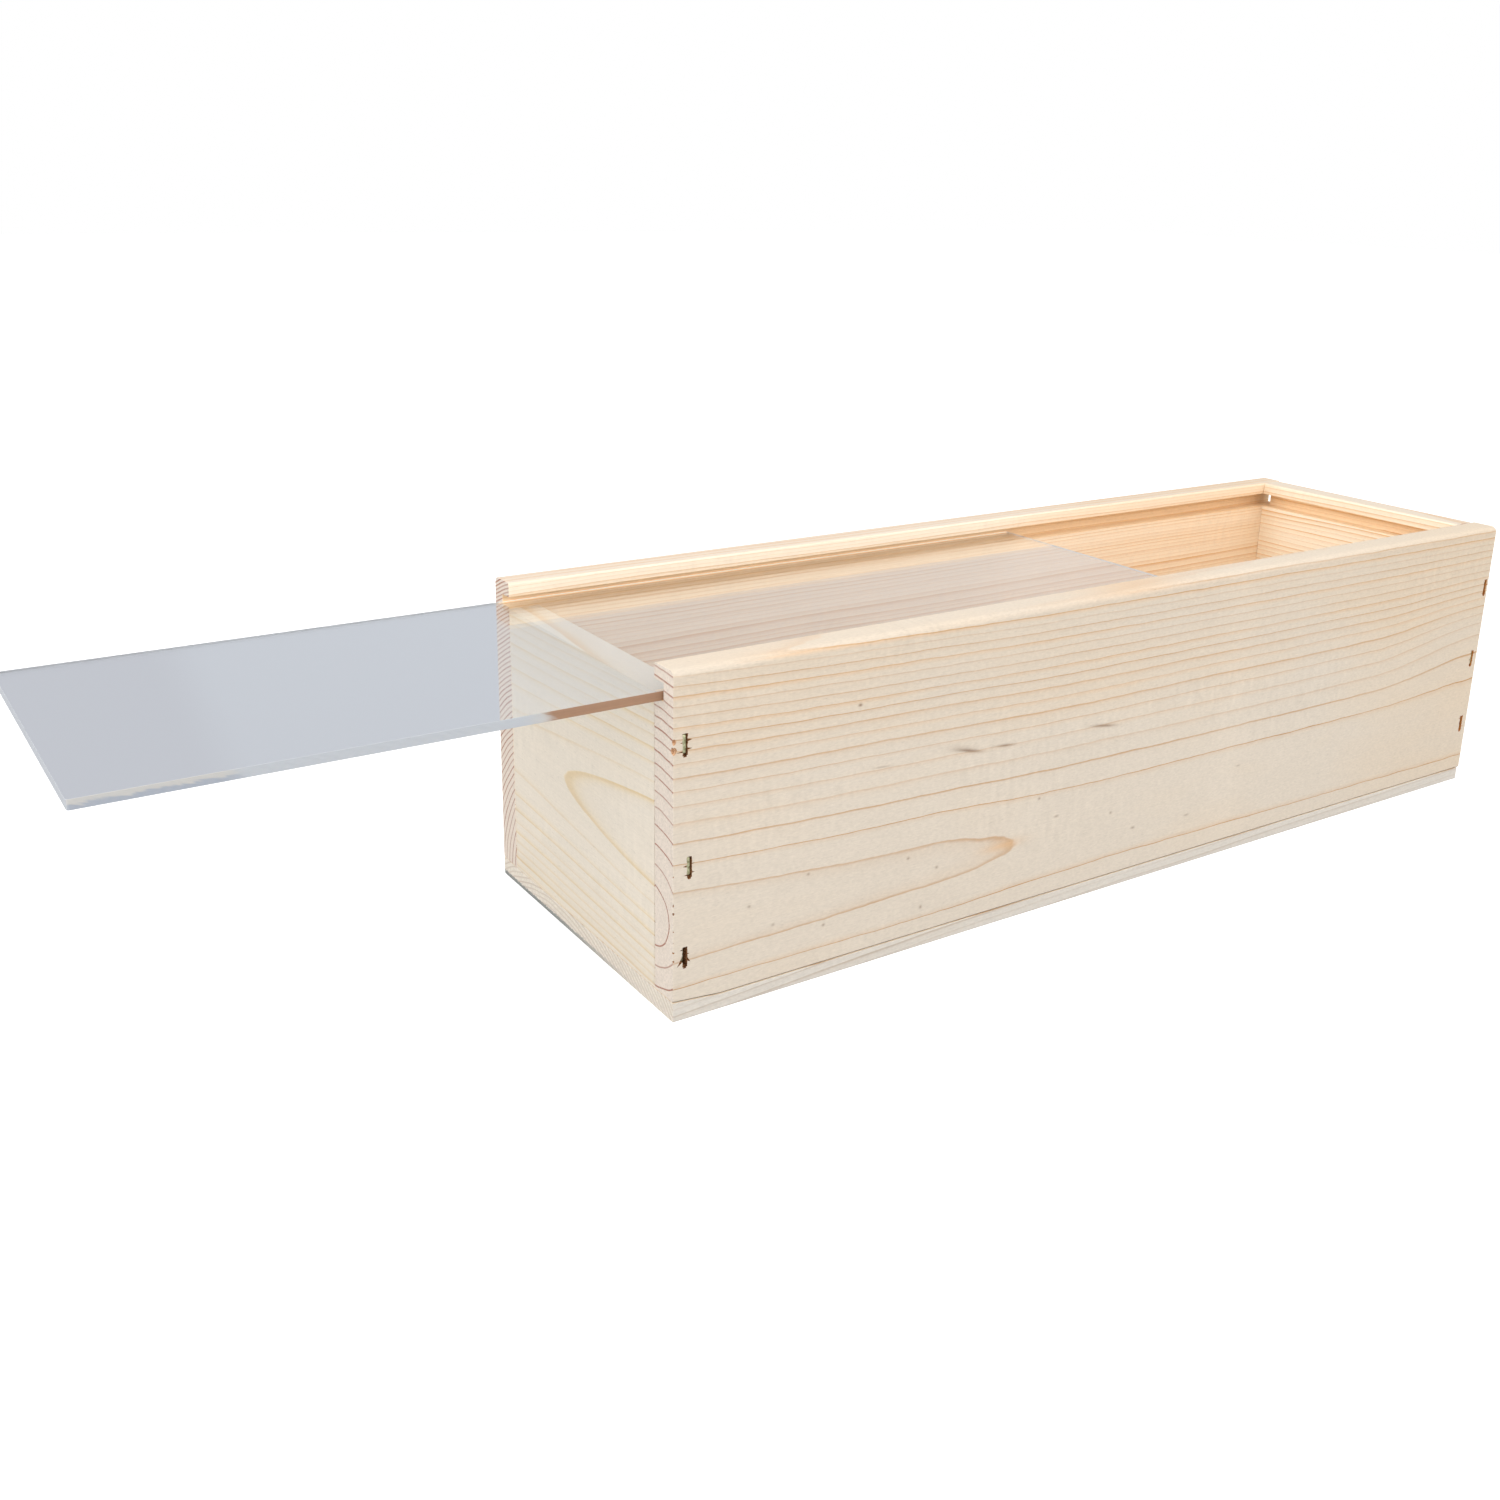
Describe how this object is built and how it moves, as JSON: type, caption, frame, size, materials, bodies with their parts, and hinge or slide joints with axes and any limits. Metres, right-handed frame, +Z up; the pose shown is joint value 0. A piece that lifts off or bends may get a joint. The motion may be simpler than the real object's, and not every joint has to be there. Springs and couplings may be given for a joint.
{
  "type": "sliding lid wooden box",
  "caption": "Long pine box of grooved boards held by staples, with a clear sheet lid that slides in grooves and is drawn part way out of the open end.",
  "frame": {"origin": "middle of the box's footprint on its underside, where it stands on a table", "axes": "+X along the length, away from the open end that the lid slides out of; +Y across, towards the far side board; +Z up"},
  "size_m": [0.494, 0.11, 0.1],
  "materials": {
    "side_pine": "sanded raw pine",
    "end_pine": "planed raw pine",
    "bottom_pine": "sawn raw pine",
    "clear_sheet": "clear acrylic sheet with sawn edges",
    "staple_wire": "coated steel wire"
  },
  "bodies": {
    "box": {"near_side_board": "side_pine", "far_side_board": "side_pine", "front_end_board": "end_pine", "back_end_board": "end_pine", "bottom_board": "bottom_pine", "near_front_staples": "staple_wire", "near_back_staples": "staple_wire", "far_front_staples": "staple_wire", "far_back_staples": "staple_wire", "near_bottom_staples": "staple_wire", "far_bottom_staples": "staple_wire", "front_bottom_staples": "staple_wire", "back_bottom_staples": "staple_wire"},
    "lid": {"sliding_lid": "clear_sheet"}
  },
  "joints": [
    {"name": "lid_slide", "type": "slide", "parent": "box", "child": "lid", "axis": [-1, 0, 0], "range_m": [-0.142, 0.206]}
  ]
}
